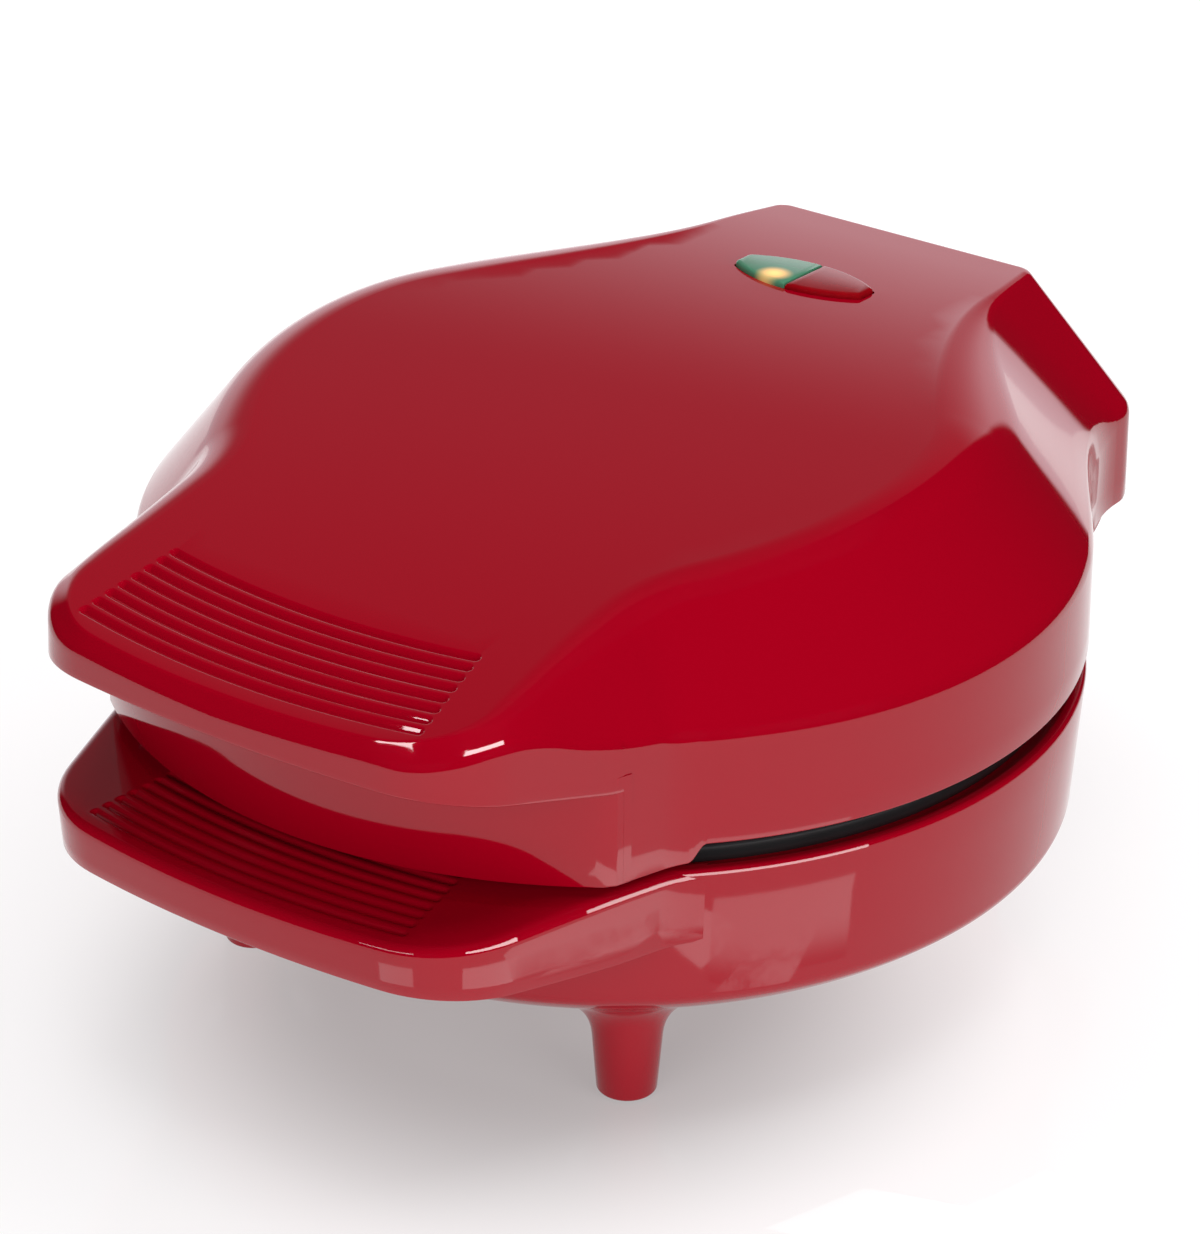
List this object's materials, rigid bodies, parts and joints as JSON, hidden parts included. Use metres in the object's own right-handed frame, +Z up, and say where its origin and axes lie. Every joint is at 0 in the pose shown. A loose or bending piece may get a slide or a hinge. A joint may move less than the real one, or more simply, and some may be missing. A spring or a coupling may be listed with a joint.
{
  "type": "bubble waffle maker",
  "caption": "Round countertop waffle iron with a hinged domed lid, flared hand grips, bubble-cell cooking plates and conical feet.",
  "frame": {"origin": "on the table, under the middle of the round body, with the lid closed", "axes": "+Z up, +Y from the grips towards the hinge, +X to the right seen from the grips"},
  "size_m": [0.224, 0.287, 0.137],
  "materials": {
    "red_plastic": "polished deep red moulding",
    "plate_coating": "cast, black non-stick coating",
    "element_sheath": "drawn tube, heat tinted",
    "reflector_sheet": "bright rolled sheet",
    "screw_steel": "zinc plated",
    "white_plastic": "heat-resistant, matt",
    "black_rubber": "matt",
    "green_lens": "clear tinted, polished",
    "red_lens": "clear tinted, polished",
    "lamp_glass": "small neon bulb"
  },
  "bodies": {
    "base": {"base_shell": "red_plastic", "lower_plate": "plate_coating", "lower_heating_element": "element_sheath", "lower_reflector": "reflector_sheet", "lower_plate_screws": "screw_steel", "thermal_fuse": "screw_steel", "terminal_block": "white_plastic", "cord_bush": "black_rubber", "foot_pad_front_left": "black_rubber", "foot_pad_front_right": "black_rubber", "foot_pad_back_left": "black_rubber", "foot_pad_back_right": "black_rubber", "hinge_pin_left": "screw_steel", "hinge_pin_right": "screw_steel"},
    "lid": {"lid_shell": "red_plastic", "upper_plate": "plate_coating", "upper_heating_element": "element_sheath", "upper_reflector": "reflector_sheet", "upper_plate_screws": "screw_steel", "thermostat": "screw_steel", "green_lens": "green_lens", "red_lens": "red_lens", "ready_lamp": "lamp_glass", "power_lamp": "lamp_glass", "lamp_holder": "white_plastic", "lamp_screws": "screw_steel"}
  },
  "joints": [
    {"name": "lid_hinge", "type": "hinge", "parent": "base", "child": "lid", "pos_m": [0, 0.122, 0.075], "axis": [-1, 0, 0], "range_deg": [0, 95]}
  ]
}
